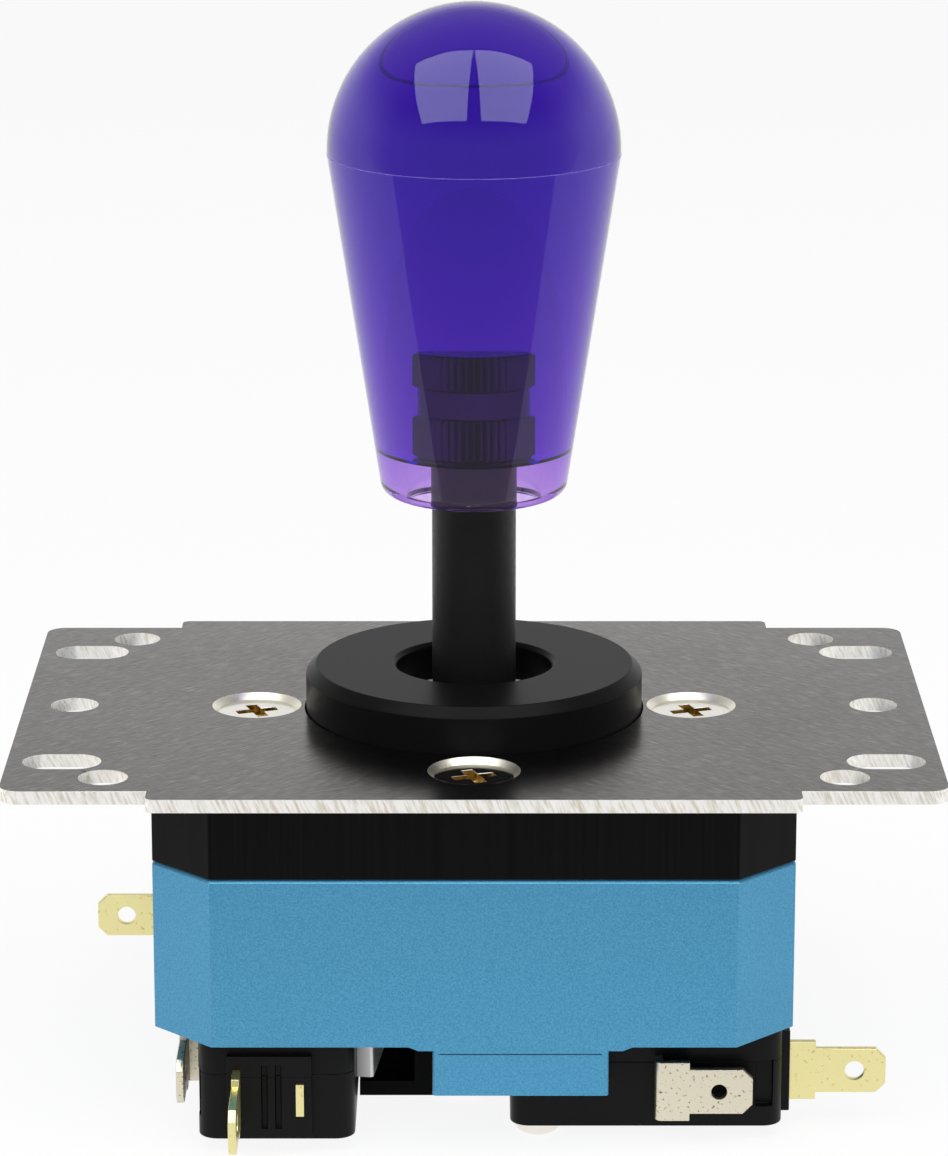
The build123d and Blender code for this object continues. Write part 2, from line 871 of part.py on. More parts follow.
def main():
    os.makedirs("parts", exist_ok=True)
    single = {
        "mounting_plate": mounting_plate,
        "plate_screws": plate_screws,
        "upper_housing": upper_housing,
        "lower_housing": lower_housing,
        "upper_cup": upper_cup,
        "lower_cup": lower_cup,
        "pivot_pin": pivot_pin,
        "pivot_ball": pivot_ball,
        "shaft": shaft,
        "bat_insert": bat_insert,
        "handle_body": handle_body,
        "handle_dome": handle_dome,
        "top_washer": top_washer,
        "low_washer": low_washer,
        "centring_spring": centring_spring,
        "actuator": actuator,
        "retaining_clip": retaining_clip,
        "restrictor_gate": restrictor_gate,
        "gate_screws": gate_screws,
        "switch_screws": switch_screws,
        "locating_pins": locating_pins,
    }
    per_switch = {
        "case": switch_case,
        "cover": switch_cover,
        "common_terminal": common_terminal,
        "open_terminal": open_terminal,
        "contact_stub": contact_stub,
        "lever": switch_lever,
        "plunger": switch_plunger,
    }
    for name, make in single.items():
        write(name, make())
    for part, make in per_switch.items():
        piece = make()
        for side, angle in sides.items():
            write(f"{side}_switch_{part}", Rot(0, 0, angle) * piece)


main()
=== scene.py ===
# %% [markdown]
# # Arcade joystick lever
#
# A clear violet bat handle stands on a black steel shaft. The shaft leaves a turned black
# collar, and a brushed steel plate, a black housing and a blue anodised housing follow below
# it. Four black snap switches hang under the body, one along each side.
#
# The solid parts are loaded as a fixed frame. This script gives them their finishes, rounds
# the edges that catch light, and sets up a plain studio.

import json
import math

import bmesh
import bpy
from mathutils import Matrix, Vector

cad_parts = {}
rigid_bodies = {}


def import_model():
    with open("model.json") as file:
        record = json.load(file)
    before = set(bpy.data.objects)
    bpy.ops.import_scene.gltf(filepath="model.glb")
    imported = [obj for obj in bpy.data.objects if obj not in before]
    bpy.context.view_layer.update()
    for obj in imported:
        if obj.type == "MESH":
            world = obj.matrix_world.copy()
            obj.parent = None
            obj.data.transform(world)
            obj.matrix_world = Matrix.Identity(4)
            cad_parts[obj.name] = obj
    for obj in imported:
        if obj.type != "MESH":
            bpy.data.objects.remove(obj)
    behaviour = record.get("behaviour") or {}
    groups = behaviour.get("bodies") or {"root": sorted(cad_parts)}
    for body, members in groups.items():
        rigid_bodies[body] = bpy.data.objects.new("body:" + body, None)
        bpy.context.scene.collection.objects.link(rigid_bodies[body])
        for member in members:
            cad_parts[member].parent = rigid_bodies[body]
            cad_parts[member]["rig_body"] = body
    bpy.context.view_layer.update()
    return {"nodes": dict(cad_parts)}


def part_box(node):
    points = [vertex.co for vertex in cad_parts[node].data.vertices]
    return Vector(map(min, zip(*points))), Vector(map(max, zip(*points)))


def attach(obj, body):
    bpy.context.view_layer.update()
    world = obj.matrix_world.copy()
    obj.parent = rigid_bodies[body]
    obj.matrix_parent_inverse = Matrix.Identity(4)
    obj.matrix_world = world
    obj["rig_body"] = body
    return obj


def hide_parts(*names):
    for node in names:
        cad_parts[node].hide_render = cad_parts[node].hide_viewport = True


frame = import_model()
nodes = frame["nodes"]
sides = ("front", "right", "back", "left")
mm = 0.001

# %% [markdown]
# ## Measures taken from the frame
#
# A new piece takes its place from the solids that are already there. A box is a pair of
# corners, the lowest and the highest, so one coordinate of a corner is a height or a radius.

# %% Read the main heights and radii
dome_low, dome_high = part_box("handle_dome")
grip_low, grip_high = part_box("handle_body")
insert_low, insert_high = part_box("bat_insert")
block_low, block_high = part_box("lower_housing")
screws_low, screws_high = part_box("switch_screws")
handle_radius = dome_high.x
handle_foot = grip_low.z
handle_top = dome_high.z
seam = dome_low.z
insert_foot = insert_low.z
block_front = block_low.y
floor_height = screws_low.z
print("handle radius", round(handle_radius / mm, 2), "floor", round(floor_height / mm, 2))

# %% [markdown]
# ## Shader nodes in a line each
#
# A material is a small tree of nodes, and its links are easy to lose sight of in a script.
# So one function adds a node together with its inputs. An input may be a plain value or the
# socket of another node, and then a line reads like the sum that the node works out.

# %% Add a node with its inputs
def feed(tree, node, inputs):
    """Gives a node's inputs, named or numbered, plain values or links from other sockets."""
    for key, value in inputs.items():
        if isinstance(value, bpy.types.NodeSocket):
            tree.links.new(value, node.inputs[key])
        else:
            node.inputs[key].default_value = value


def add(tree, kind, inputs=None, **properties):
    """A new node of one kind, with its properties and its inputs."""
    node = tree.nodes.new(kind)
    for name, value in properties.items():
        setattr(node, name, value)
    feed(tree, node, inputs or {})
    return node


print("nodes can be added")

# %% Points, noise and ranges
def object_point(tree, scale=(1, 1, 1), lean=0):
    """The point on the piece in its own coordinates, leant about Y, then stretched."""
    own = add(tree, "ShaderNodeTexCoord").outputs["Object"]
    turn = {"Vector": own, "Angle": math.radians(lean)}
    leant = add(tree, "ShaderNodeVectorRotate", turn, rotation_type="Y_AXIS").outputs["Vector"]
    return add(tree, "ShaderNodeMapping", {"Vector": leant, "Scale": scale}).outputs["Vector"]


def noise(tree, point, scale, detail=2.0, roughness=0.5):
    """A noise texture's value at a point."""
    inputs = {"Vector": point, "Scale": scale, "Detail": detail, "Roughness": roughness}
    return add(tree, "ShaderNodeTexNoise", inputs).outputs["Fac"]


def map_range(tree, value, low, high, to_low, to_high):
    """Stretches a socket's value from one range to another."""
    inputs = {"Value": value, "From Min": low, "From Max": high, "To Min": to_low, "To Max": to_high}
    return add(tree, "ShaderNodeMapRange", inputs).outputs["Result"]


# Most values of a noise texture lie between these two.
noise_low = 0.3
noise_high = 0.7
print("noise lies between", noise_low, "and", noise_high)

# %% [markdown]
# ## Grains that the materials share
#
# Metal and plastic look flat when they have one colour and one roughness. Real stock is
# drawn, turned, blasted or moulded, and each way leaves its own grain. Three node groups
# make those grains. A group puts out only masks, and each material decides what they do to
# its colour, its roughness and its height.

# %% Start a node group
def new_group(name, inputs, outputs):
    """An empty node group of number sockets, and the nodes that hold its two ends."""
    group = bpy.data.node_groups.new(name, "ShaderNodeTree")
    for socket, value in inputs.items():
        made = group.interface.new_socket(socket, in_out="INPUT", socket_type="NodeSocketFloat")
        made.default_value = value
    for socket in outputs:
        group.interface.new_socket(socket, in_out="OUTPUT", socket_type="NodeSocketFloat")
    return group, group.nodes.new("NodeGroupInput"), group.nodes.new("NodeGroupOutput")


print("groups can be started")

# %% [markdown]
# Drawn sheet has long fine lines along X. The plate also has short scratches that slant
# inwards from both sides, so they are made for one half and mirrored by the size of X. Slow
# clouds stand for the uneven polish.

# %% Node group: drawn lines
line_stretch = (900, 2600, 2600)
scratch_stretch = (380, 9000, 1)
scratch_slant = math.radians(45)
cloud_scale = 45.0

group, start, end = new_group("drawn_lines", {"Fineness": 1.0}, ["Lines", "Scratches", "Clouds"])
lines = noise(group, object_point(group, line_stretch), start.outputs["Fineness"], 4, 0.7)
clouds = noise(group, object_point(group), cloud_scale, 3, 0.6)
own = add(group, "ShaderNodeSeparateXYZ", {"Vector": object_point(group)}).outputs
size_of_x = add(group, "ShaderNodeMath", {0: own["X"]}, operation="ABSOLUTE").outputs["Value"]
half = add(group, "ShaderNodeCombineXYZ", {"X": size_of_x, "Y": own["Y"]}).outputs["Vector"]
turn = {"Vector": half, "Angle": scratch_slant}
slanted = add(group, "ShaderNodeVectorRotate", turn, rotation_type="Z_AXIS").outputs["Vector"]
short = add(group, "ShaderNodeMapping", {"Vector": slanted, "Scale": scratch_stretch}).outputs["Vector"]
scratches = map_range(group, noise(group, short, 1.0), 0.5, 0.78, 0, 1)
feed(group, end, {"Lines": lines, "Scratches": scratches, "Clouds": clouds})
drawn_lines = group
print("group", drawn_lines.name, "ready")

# %% [markdown]
# Blasted, plated and moulded surfaces share one group: small round grains and slow stains.

# %% Node group: fine grain
stain_scale = 60.0
group, start, end = new_group("fine_grain", {"Grain": 4000.0}, ["Grains", "Stains"])
point = object_point(group)
grains = noise(group, point, start.outputs["Grain"], 2, 0.6)
stains = noise(group, point, stain_scale, 4, 0.6)
feed(group, end, {"Grains": grains, "Stains": stains})
fine_grain = group
print("group", fine_grain.name, "ready")

# %% [markdown]
# A lathe leaves rings round the axis, so this pattern depends only on the distance from it.

# %% Node group: turned rings
group, start, end = new_group("turned_rings", {"Pitch": 5000.0}, ["Rings"])
level_point = object_point(group, (1, 1, 0))
distance = add(group, "ShaderNodeVectorMath", {0: level_point}, operation="LENGTH").outputs["Value"]
ring_point = add(group, "ShaderNodeCombineXYZ", {"X": distance}).outputs["Vector"]
rings = noise(group, ring_point, start.outputs["Pitch"], 3, 0.7)
feed(group, end, {"Rings": rings})
turned_rings = group
print("group", turned_rings.name, "ready")

# %% [markdown]
# ## Material helpers
#
# The Principled shader stays in the material itself, and these helpers feed it: a colour
# mixed from two by a mask, a roughness that rises with a mask, and a bump.

# %% Start a material and mix its colours
def new_material(name):
    """A new material, its node tree and its Principled shader."""
    material = bpy.data.materials.new(name)
    material.use_nodes = True
    tree = material.node_tree
    return material, tree, tree.nodes["Principled BSDF"]


def place(tree, group, **values):
    """Places a node group with its own values, and returns its outputs."""
    return add(tree, "ShaderNodeGroup", values, node_tree=group).outputs


def mix_colour(tree, factor, first, second):
    """Mixes two colours by a mask. The node's colour sockets go by number."""
    return add(tree, "ShaderNodeMix", {0: factor, 6: first, 7: second}, data_type="RGBA").outputs[2]


def srgb(red, green, blue):
    """A colour from its usual 0 to 255 values, in the linear form that shaders take."""
    linear = []
    for value in (red, green, blue):
        part = value / 255
        linear.append(part / 12.92 if part <= 0.04045 else ((part + 0.055) / 1.055) ** 2.4)
    return (*linear, 1.0)


print("colour check", [round(v, 3) for v in srgb(75, 150, 190)])

# %% Vary the roughness and bump the surface
def vary_roughness(tree, shader, mask, rough, rise):
    """Lets the roughness rise with a noise mask."""
    feed(tree, shader, {"Roughness": map_range(tree, mask, noise_low, noise_high, rough, rough + rise)})


def bump(tree, shader, height, strength, distance):
    """Bumps a shader's surface by a height socket."""
    inputs = {"Height": height, "Strength": strength, "Distance": distance}
    feed(tree, shader, {"Normal": add(tree, "ShaderNodeBump", inputs).outputs["Normal"]})


print("roughness and bump can be varied")

# %% [markdown]
# ## Stainless plate
#
# The plate is drawn sheet with fine lines along X and light slanting scratches. Its cut edges
# and hole walls are a material of their own, with upright shear marks that lean a little.
# Stamping leaves a cut edge bright, and it is painted near white here: partly that bright
# metal, partly a painted highlight along the edges.

# %% Brushed stainless steel
def brushed_steel(name, dark, light, scratch, rough):
    """Drawn steel sheet with lines along X between two greys, and short scratches."""
    material, tree, shader = new_material(name)
    drawn = place(tree, drawn_lines, Fineness=1.0)
    greys = mix_colour(tree, map_range(tree, drawn["Lines"], noise_low, noise_high, 0, 1), dark, light)
    marked = mix_colour(tree, map_range(tree, drawn["Scratches"], 0, 1, 0, 0.7), greys, scratch)
    feed(tree, shader, {"Base Color": marked, "Metallic": 1.0})
    vary_roughness(tree, shader, drawn["Clouds"], rough, 0.06)
    bump(tree, shader, drawn["Lines"], 0.2, 0.02 * mm)
    return material


def sheared_steel(name, dark, light, rough):
    """The cut edge of a stamped sheet between two colours, with upright marks where it tore."""
    material, tree, shader = new_material(name)
    upright = object_point(tree, (3600, 3600, 420), lean=24)
    marks = map_range(tree, noise(tree, upright, 1.0, 3, 0.6), 0.3, 0.55, 0, 1)
    colour = mix_colour(tree, marks, dark, light)
    feed(tree, shader, {"Base Color": colour, "Metallic": 0.5, "Roughness": rough})
    return material


# The plate's greys are far darker than bare steel: painted shade, for the dim reflections and shadow that
# lie across its face.
plate_greys_with_painted_shade = srgb(62, 60, 59), srgb(108, 105, 102)
plate_face = brushed_steel("plate_brushed_face", *plate_greys_with_painted_shade, srgb(176, 172, 164), 0.2)
# The cut edge is near white: partly the bright metal of a fresh cut, partly a painted highlight.
plate_edge_highlight = sheared_steel("plate_cut_edge_highlight", srgb(216, 208, 192), srgb(255, 253, 249), 0.4)
print(plate_face.name, plate_edge_highlight.name)

# %% [markdown]
# ## Anodised housings
#
# The upper housing is black anodised and turned at its collar. Its oxide is so dark and matt
# that it shows as a dark plastic would, so it isn't metallic here and reflects little. The
# lower one is blasted with beads before it is dyed blue. Its thin dyed oxide lets the
# aluminium through, so it is partly metallic and has a fine even sparkle.

# %% Black anodised aluminium
def black_anodised(name, colour, lighter, rough):
    """Turned black aluminium, with rings round Z."""
    material, tree, shader = new_material(name)
    turned = place(tree, turned_rings, Pitch=5200.0)
    rings = map_range(tree, turned["Rings"], 0.35, 0.65, 0, 1)
    feed(tree, shader, {"Base Color": mix_colour(tree, rings, colour, lighter), "Specular IOR Level": 0.07})
    vary_roughness(tree, shader, turned["Rings"], rough, 0.06)
    bump(tree, shader, turned["Rings"], 0.2, 0.02 * mm)
    return material


housing_black = black_anodised("housing_black_anodised", srgb(6, 6, 7), srgb(14, 14, 15), 0.34)
print(housing_black.name)

# %% Blue anodised aluminium
def blasted_aluminium(name, dark, light, rough):
    """Bead-blasted and dyed aluminium: an even colour with a fine sparkle."""
    material, tree, shader = new_material(name)
    grain = place(tree, fine_grain, Grain=5200.0)
    speckle = map_range(tree, grain["Grains"], 0.35, 0.65, 0, 1)
    feed(tree, shader, {"Base Color": mix_colour(tree, speckle, dark, light), "Metallic": 0.55})
    vary_roughness(tree, shader, grain["Stains"], rough, 0.08)
    bump(tree, shader, grain["Grains"], 0.35, 0.03 * mm)
    return material


housing_blue = blasted_aluminium("housing_blue_anodised", srgb(66, 140, 180), srgb(86, 162, 200), 0.42)
# The blue housing's bevels run from blue to near white: a painted highlight along its edges.
blue_edge_highlight = blasted_aluminium("housing_blue_edge_highlight", srgb(90, 160, 195), srgb(214, 240, 248), 0.3)
print(housing_blue.name, blue_edge_highlight.name)

# %% [markdown]
# ## Small metal parts
#
# Screws are nickel plated, with a yellow cast down in their cross recesses. The common
# terminals are brass and the second ones are tinned, with brown spots where the tin is thin.
# The levers, pin, washers and spring are plain steel. All are one material with soft stains,
# and they differ in colour, in how much is stained and in how fine the stains are.

# %% Plated and stained metals
def stained_metal(name, clean, stain, amount, rough, grain=900.0):
    """Metal with soft stains. The larger the amount, the more of the surface they cover."""
    material, tree, shader = new_material(name)
    fine = place(tree, fine_grain, Grain=grain)
    mask = map_range(tree, fine["Grains"], 0.8 - amount, 0.9 - amount, 0, 1)
    feed(tree, shader, {"Base Color": mix_colour(tree, mask, clean, stain), "Metallic": 1.0})
    vary_roughness(tree, shader, fine["Stains"], rough, 0.12)
    bump(tree, shader, fine["Stains"], 0.1, 0.03 * mm)
    return material


nickel = stained_metal("screw_nickel", srgb(240, 237, 228), srgb(222, 208, 170), 0.12, 0.07)
recess_gold = stained_metal("screw_recess_gold", srgb(226, 196, 112), srgb(120, 96, 44), 0.3, 0.2)
# The plate's countersinks and slanted bevels are near-white nickel: partly the bright metal of a machined
# cut, partly a painted highlight.
plate_slope_highlight = stained_metal("plate_slope_painted_highlight", srgb(246, 242, 226), srgb(214, 200, 160), 0.15, 0.3)
brass = stained_metal("terminal_brass", srgb(240, 230, 168), srgb(214, 190, 110), 0.18, 0.28, 1800.0)
tinned = stained_metal("terminal_tinned", srgb(226, 219, 198), srgb(138, 108, 70), 0.2, 0.3, 2400.0)
plain_steel = stained_metal("plain_steel", srgb(220, 220, 219), srgb(186, 184, 180), 0.12, 0.34)
insert_metal = stained_metal("insert_steel", srgb(104, 92, 100), srgb(70, 60, 70), 0.05, 0.16)
print(nickel.name, brass.name, tinned.name, plain_steel.name, insert_metal.name)

# %% [markdown]
# ## Blackened shaft
#
# The shaft is turned steel under a black oxide, which is satin and a little uneven. It hides
# the metal's shine, so this is a dark surface with weak reflections.

# %% Black oxide steel
def dark_steel(name, colour, lighter, rough):
    """Blackened turned steel."""
    material, tree, shader = new_material(name)
    fine = place(tree, fine_grain, Grain=1600.0)
    colour = mix_colour(tree, fine["Stains"], colour, lighter)
    feed(tree, shader, {"Base Color": colour, "Specular IOR Level": 0.25})
    vary_roughness(tree, shader, fine["Grains"], rough, 0.1)
    return material


shaft_black = dark_steel("shaft_black_oxide", srgb(8, 8, 8), srgb(22, 21, 22), 0.36)
print(shaft_black.name)

# %% [markdown]
# ## Moulded plastics
#
# The switch cases are black and slightly satin, from a spark-eroded mould. The cups and
# plungers are natural acetal, which is milky and a little waxy.

# %% Plastics with the grain of their mould
def moulded(name, colour, rough, gloss):
    """A moulded plastic with the fine grain of its mould."""
    material, tree, shader = new_material(name)
    fine = place(tree, fine_grain, Grain=2600.0)
    lighter = (*(min(1.0, part * 1.5 + 0.002) for part in colour[:3]), 1.0)
    colour = mix_colour(tree, fine["Stains"], colour, lighter)
    feed(tree, shader, {"Base Color": colour, "Specular IOR Level": gloss})
    vary_roughness(tree, shader, fine["Stains"], rough, 0.12)
    bump(tree, shader, fine["Grains"], 0.3, 0.03 * mm)
    return material


switch_black = moulded("switch_black_plastic", srgb(6, 6, 7), 0.32, 0.14)
gate_black = moulded("gate_black_plastic", srgb(4, 4, 4), 0.42, 0.06)
acetal = moulded("acetal_natural", srgb(222, 219, 208), 0.38, 0.5)
print(switch_black.name, gate_black.name, acetal.name)

# %% [markdown]
# ## Clear violet handle
#
# The handle is dyed acrylic, so its colour deepens with the thickness of what light goes
# through: the thin wall round the recess is pale and the solid middle is deep. A tint on the
# surface can't do that. The surface stays clear here, and the tint is an absorption that
# works on the way through.

# %% Dyed acrylic
def dyed_acrylic(name, colour, density):
    """Clear plastic whose colour comes from how far light travels in it."""
    material, tree, shader = new_material(name)
    clear = {"Base Color": (1, 1, 1, 1), "Roughness": 0.0, "IOR": 1.49, "Transmission Weight": 1.0}
    feed(tree, shader, clear)
    dye = add(tree, "ShaderNodeVolumeAbsorption", {"Color": colour, "Density": density})
    feed(tree, tree.nodes["Material Output"], {"Volume": dye.outputs["Volume"]})
    return material


violet = dyed_acrylic("handle_violet_acrylic", (0.52, 0.16, 0.85, 1.0), 260.0)
print(violet.name)

# %% Fine line at the seam, painted light
def paint_seam_highlight(name, colour, cover):
    """The fine line where the mould's halves meet, painted paler as a highlight. Cover is the share that
    isn't clear.
    """
    material, tree, shader = new_material(name)
    fine = place(tree, fine_grain, Grain=900.0)
    share = map_range(tree, fine["Grains"], noise_low, noise_high, cover - 0.15, cover + 0.15)
    feed(tree, shader, {"Base Color": colour, "Roughness": 0.3, "Alpha": share})
    return material


seam_highlight = paint_seam_highlight("handle_seam_painted_highlight", srgb(140, 126, 222), 0.4)
print(seam_highlight.name)

# %% [markdown]
# ## Which node has which finish
#
# The finish goes on the node's own mesh. The nodes that a softened copy stands for later get
# theirs from this table too. The four switches share one list, since they are the same part.
# The locating pins aren't in the table: they sit up inside the switches, and they keep the
# plain steel that comes with the frame.

# %% Give the nodes their finishes
finish_of = {
    "mounting_plate": plate_face,
    "plate_screws": nickel,
    "upper_housing": housing_black,
    "lower_housing": housing_blue,
    "upper_cup": acetal,
    "lower_cup": acetal,
    "pivot_pin": plain_steel,
    "pivot_ball": plain_steel,
    "shaft": shaft_black,
    "bat_insert": insert_metal,
    "handle_body": violet,
    "handle_dome": violet,
    "top_washer": plain_steel,
    "low_washer": plain_steel,
    "centring_spring": plain_steel,
    "actuator": gate_black,
    "retaining_clip": shaft_black,
    "restrictor_gate": gate_black,
    "gate_screws": nickel,
    "switch_screws": nickel,
}
switch_finish = {
    "case": switch_black,
    "cover": switch_black,
    "common_terminal": brass,
    "open_terminal": tinned,
    "contact_stub": brass,
    "lever": plain_steel,
    "plunger": acetal,
}
for side in sides:
    for part, material in switch_finish.items():
        finish_of[f"{side}_switch_{part}"] = material
for name, material in finish_of.items():
    mesh = nodes[name].data
    mesh.materials.clear()
    mesh.materials.append(material)
print(len(finish_of), "of", len(nodes), "nodes have a finish of this script")

# %% [markdown]
# ## Soft edges
#
# No real edge is perfectly sharp, and the thin line of light along it is what makes metal
# look machined. A copy of the solid is merged into whole faces, and its sharp edges are
# bevelled by a small amount. The bevel, the upright walls and the slopes may each have a
# finish of their own. The copy then stands for the solid.

# %% Link a finished piece
def place_piece(mesh, name, body, *stands_for):
    """Links a finished mesh at the origin, rides it on a body and replaces its nodes."""
    mesh.shade_smooth()
    mesh.set_sharp_from_angle(angle=math.radians(30))
    piece = bpy.data.objects.new(name, mesh)
    bpy.context.scene.collection.objects.link(piece)
    weighted = piece.modifiers.new("even_shading", "WEIGHTED_NORMAL")
    weighted.keep_sharp = True
    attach(piece, body)
    if stands_for:
        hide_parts(*stands_for)
    return piece


print("pieces can be linked")

# %% Copy a solid and bevel its edges
merge_distance = 0.002 * mm
flat_angle = math.radians(0.5)
sharp_angle = math.radians(28)
# A face is told by the upward part of its normal: small on a wall, near 1 on a level face.
wall_below = 0.3
level_above = 0.95
smallest_slope = 0.01 * mm * mm


def softened(name, width, edges=None, walls=None, slopes=None):
    """A copy of a node with bevelled edges. Edges, upright walls and slopes may differ."""
    face_slots = [finish_of[name]]
    for material in (edges, walls, slopes):
        if material and material not in face_slots:
            face_slots.append(material)
    work = bmesh.new()
    work.from_mesh(nodes[name].data)
    bmesh.ops.remove_doubles(work, verts=work.verts, dist=merge_distance)
    bmesh.ops.dissolve_limit(work, angle_limit=flat_angle, verts=work.verts, edges=work.edges)
    bmesh.ops.bevel(
        work,
        geom=[edge for edge in work.edges if edge.is_manifold and edge.calc_face_angle() > sharp_angle],
        offset=width,
        offset_type="OFFSET",
        affect="EDGES",
        segments=2,
        profile=0.5,
        material=face_slots.index(edges) if edges else -1,
        clamp_overlap=True,
    )
    for face in work.faces:
        upward = abs(face.normal.z)
        if walls and upward < wall_below:
            face.material_index = face_slots.index(walls)
        elif slopes and upward < level_above and face.calc_area() > smallest_slope:
            face.material_index = face_slots.index(slopes)
    mesh = bpy.data.meshes.new(f"{name}_finished")
    work.to_mesh(mesh)
    work.free()
    for material in face_slots:
        mesh.materials.append(material)
    return place_piece(mesh, f"{name}_finished", nodes[name]["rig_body"], name)


# The plate's bevels, walls and slopes take near-white finishes, painted highlights along its edges.
plate = softened("mounting_plate", 0.16 * mm, edges=plate_edge_highlight, walls=plate_edge_highlight, slopes=plate_slope_highlight)
top_block = softened("upper_housing", 0.12 * mm)
bottom_block = softened("lower_housing", 0.14 * mm, edges=blue_edge_highlight)
screw_heads = softened("plate_screws", 0.05 * mm, walls=recess_gold)
print("softened", plate.name, top_block.name, bottom_block.name, screw_heads.name)

# %% Soften the switches and their terminals
switch_edges = {
    "case": 0.18 * mm,
    "cover": 0.18 * mm,
    "common_terminal": 0.08 * mm,
    "open_terminal": 0.08 * mm,
}
for side in sides:
    for part, width in switch_edges.items():
        softened(f"{side}_switch_{part}", width)
print(len(sides), "switches softened")

# %% [markdown]
# ## The handle as one clear body
#
# Two clear solids with a gap between them would mirror each other, and so would the hole
# round the insert. The real moulding has neither gap, so one turned body stands for both
# halves, and the insert sits inside it. Its outline is drawn once and spun round Z.

# %% Spin an outline round Z
def turned_mesh(name, outline, material):
    """A closed mesh from an outline of radius and height pairs, spun round Z."""
    work = bmesh.new()
    row = [work.verts.new((radius, 0, height)) for radius, height in outline]
    edges = [work.edges.new(pair) for pair in zip(row, row[1:])]
    bmesh.ops.spin(
        work,
        geom=row + edges,
        cent=(0, 0, 0),
        axis=(0, 0, 1),
        angle=2 * math.pi,
        steps=96,
        use_merge=True,
    )
    bmesh.ops.remove_doubles(work, verts=work.verts, dist=0.001 * mm)
    bmesh.ops.recalc_face_normals(work, faces=work.faces)
    mesh = bpy.data.meshes.new(name)
    work.to_mesh(mesh)
    work.free()
    mesh.materials.append(material)
    return mesh


def arc(centre, radius, first, last, count):
    """Points on an arc in the outline's plane, from one angle to another in degrees."""
    points = []
    for step in range(count + 1):
        turn = math.radians(first + (last - first) * step / count)
        points.append((centre[0] + radius * math.cos(turn), centre[1] + radius * math.sin(turn)))
    return points


print("a quarter turn", [tuple(round(v, 2) for v in point) for point in arc((0, 0), 1, 0, 90, 2)])

# %% [markdown]
# The outline starts at the recess under the handle, where the insert's foot just shows. It
# goes down the recess wall, round the foot, up the straight cone to the seam, over a short
# upright band and up the dome to the axis.

# %% Clear handle
recess_radius = 6.9 * mm
recess_top = insert_foot + 0.02 * mm
recess_corner = 0.3 * mm
foot_radius = 9.8 * mm
foot_round = 1.5 * mm
foot_round_end = -8
band_height = handle_top - seam - handle_radius
outline = [
    (0, recess_top),
    (recess_radius - recess_corner, recess_top),
    (recess_radius, recess_top - recess_corner),
    (recess_radius, handle_foot + recess_corner),
    (recess_radius + recess_corner, handle_foot),
]
foot_centre = (foot_radius - foot_round, handle_foot + foot_round)
outline += arc(foot_centre, foot_round, -90, foot_round_end, 8)
outline.append((handle_radius, seam))
outline += arc((0, seam + band_height), handle_radius, 0, 90, 40)[:-1]
outline.append((0, handle_top))
handle_mesh = turned_mesh("clear_handle", outline, violet)
clear_handle = place_piece(handle_mesh, "clear_handle", "stick", "handle_body", "handle_dome")
print(clear_handle.name, len(clear_handle.data.polygons), "faces")

# %% [markdown]
# ## Seam line
#
# A fine line runs round the handle where its two halves meet. A dark disc through the clear
# body would show from everywhere, so the line is only a thin ring, sunk a little into the
# surface. Its pale violet is a painted highlight, for the light caught where cone meets band.

# %% Ring at the seam
ring_inner = handle_radius - 0.01 * mm
ring_outer = handle_radius + 0.02 * mm
ring_low = seam - 0.04 * mm
ring_high = seam + 0.04 * mm
ring = [(ring_inner, ring_low), (ring_outer, ring_low), (ring_outer, ring_high), (ring_inner, ring_high)]
ring_mesh = turned_mesh("seam_line", ring + ring[:1], seam_highlight)
seam_line = place_piece(ring_mesh, "seam_line", "stick")
print(seam_line.name, len(seam_line.data.polygons), "faces")

# %% [markdown]
# ## Studio
#
# The ground and backdrop are plain white, and two soft boxes stand high at the left and the
# right in front. Their reflections show on the dome, so their directions are known.
#
# The white is only for what the camera, glossy surfaces and clear plastic see, so the light
# on the part stays at a plain level. Glossy surfaces see it dimmer overhead and in front,
# where the room behind the camera would be. That keeps the front of the handle clear.

# %% What a ray sees
def seen_directly(tree, *rays):
    """One where the ray is of one of the named kinds, and zero elsewhere."""
    path = add(tree, "ShaderNodeLightPath").outputs
    socket = path[rays[0]]
    for ray in rays[1:]:
        pair = {0: socket, 1: path[ray]}
        socket = add(tree, "ShaderNodeMath", pair, operation="MAXIMUM").outputs["Value"]
    return socket


def choose(tree, factor, first, second):
    """Mixes two shaders: the first at 0 and the second at 1."""
    return add(tree, "ShaderNodeMixShader", {0: factor, 1: first, 2: second}).outputs["Shader"]


def glow(tree, strength):
    """A white background of one strength, a number or a socket."""
    white = {"Color": (1, 1, 1, 1), "Strength": strength}
    return add(tree, "ShaderNodeBackground", white).outputs["Background"]


print("rays can be told apart")

# %% World
# How bright each part of the room is, where 1 is white.
mirrored_overhead = 0.45
mirrored_in_front = 0.5
light_low_down = 0.9
light_overhead = 0.25

world = bpy.data.worlds.new("studio_world")
bpy.context.scene.world = world
world.use_nodes = True
tree = world.node_tree
tree.nodes.clear()
direction = add(tree, "ShaderNodeTexCoord").outputs["Generated"]
heading = add(tree, "ShaderNodeSeparateXYZ", {"Vector": direction}).outputs
overhead = map_range(tree, heading["Z"], 0.22, 0.55, 1.0, mirrored_overhead)
in_front = map_range(tree, heading["Y"], -0.35, 0.15, mirrored_in_front, 1.0)
room = add(tree, "ShaderNodeMath", {0: overhead, 1: in_front}, operation="MULTIPLY").outputs["Value"]
plain = glow(tree, map_range(tree, heading["Z"], 0.18, 0.5, light_low_down, light_overhead))
mirrored = choose(tree, seen_directly(tree, "Is Glossy Ray"), plain, glow(tree, room))
looked_at = seen_directly(tree, "Is Camera Ray", "Is Transmission Ray")
around = choose(tree, looked_at, mirrored, glow(tree, 1.0))
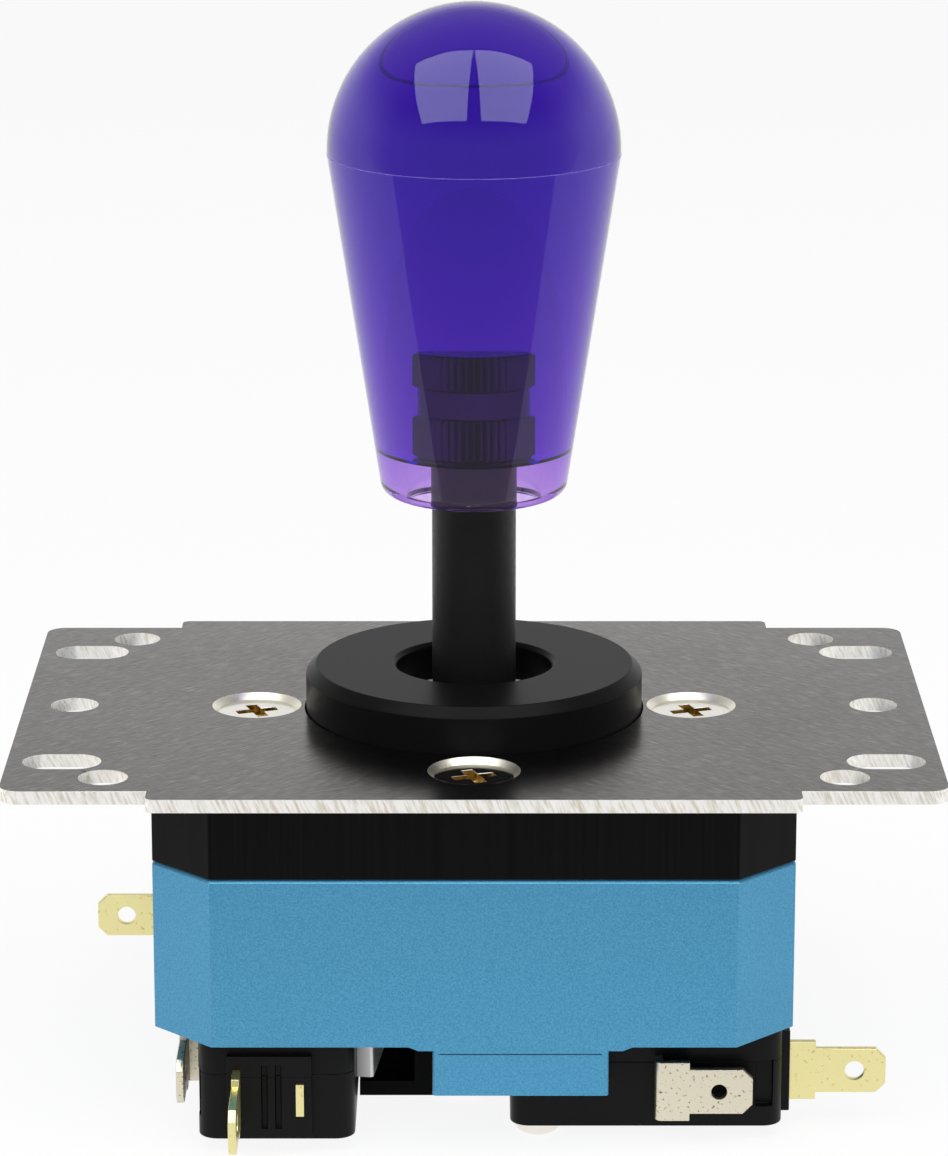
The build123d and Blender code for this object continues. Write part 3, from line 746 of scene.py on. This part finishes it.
add(tree, "ShaderNodeOutputWorld", {"Surface": around})
print("world", world.name, "ready")

# %% [markdown]
# The floor is one white sheet. For the camera, glossy surfaces and clear plastic most of it
# glows, so that it reads as white without more light on the part. The share that doesn't
# glow keeps the part's shadow. The sheet ends a little in front of the part, as paper on a
# table would.

# %% Floor
floor_reach = 3
front_edge = block_front - 55 * mm
glow_share = 0.9
corners = (
    (-floor_reach, front_edge),
    (floor_reach, front_edge),
    (floor_reach, floor_reach),
    (-floor_reach, floor_reach),
)
work = bmesh.new()
work.faces.new([work.verts.new((x, y, floor_height)) for x, y in corners])
floor_mesh = bpy.data.meshes.new("floor")
work.to_mesh(floor_mesh)
work.free()
floor = bpy.data.objects.new("floor", floor_mesh)
bpy.context.scene.collection.objects.link(floor)
floor_paint, tree, shader = new_material("floor_white")
feed(tree, shader, {"Base Color": (0.9, 0.9, 0.9, 1), "Roughness": 0.9})
painted = shader.outputs["BSDF"]
glowing = choose(tree, glow_share, painted, add(tree, "ShaderNodeEmission").outputs["Emission"])
seen = seen_directly(tree, "Is Camera Ray", "Is Glossy Ray", "Is Transmission Ray")
feed(tree, tree.nodes["Material Output"], {"Surface": choose(tree, seen, painted, glowing)})
floor_mesh.materials.append(floor_paint)
print("floor at", round(floor_height / mm, 1), "mm")

# %% [markdown]
# Each soft box is a flat lamp. Its own two sides give its directions, and it shines away from
# the cross product of the two, because a lamp shines along its own negative Z. Its power is
# set from how bright its face should look, where 1 is white.

# %% Soft boxes
def soft_box(name, from_seam, across, along, width, length, level):
    """A large soft light at a place from the handle's seam, with its sides' directions."""
    light = bpy.data.lights.new(name, "AREA")
    light.shape = "RECTANGLE"
    light.size = width
    light.size_y = length
    light.energy = level * math.pi * width * length
    lamp = bpy.data.objects.new(name, light)
    side = Vector(across).normalized()
    facing = side.cross(Vector(along)).normalized()
    turn = Matrix((side, facing.cross(side), facing)).transposed().to_4x4()
    lamp.matrix_world = Matrix.Translation(Vector(from_seam) + Vector((0, 0, seam))) @ turn
    bpy.context.scene.collection.objects.link(lamp)
    return lamp


box_width = 0.42
box_length = 0.62
box_level = 3.0
for name, hand in {"left_soft_box": -1, "right_soft_box": 1}.items():
    from_seam = (hand * 0.24, -0.235, 0.47)
    across = (1, hand * 0.1, 0)
    along = (-hand * 0.14, 0.87, 0.48)
    box = soft_box(name, from_seam, across, along, box_width, box_length, box_level)
    print(box.name, [round(value, 2) for value in box.location])

# %% [markdown]
# ## Camera
#
# The camera's place was found from the plate: its known width, its holes and its corners fix
# the distance, the height and the lens. The picture is upright, so the sensor's width is laid
# along its height.

# %% Camera
pitch_down = math.radians(15.26)
camera_place = (0, -0.47939, 0.14472)
focal_pixels = 4723.62
image_height_pixels = 1156
sensor_width = 36
lens_data = bpy.data.cameras.new("camera")
lens_data.sensor_width = sensor_width
lens_data.lens = focal_pixels / image_height_pixels * sensor_width
camera = bpy.data.objects.new("camera", lens_data)
camera.location = camera_place
camera.rotation_euler = (math.radians(90) - pitch_down, 0, 0)
bpy.context.scene.collection.objects.link(camera)
bpy.context.scene.camera = camera
bpy.context.scene.view_settings.view_transform = "Standard"
print("lens", round(lens_data.lens, 1), "mm")
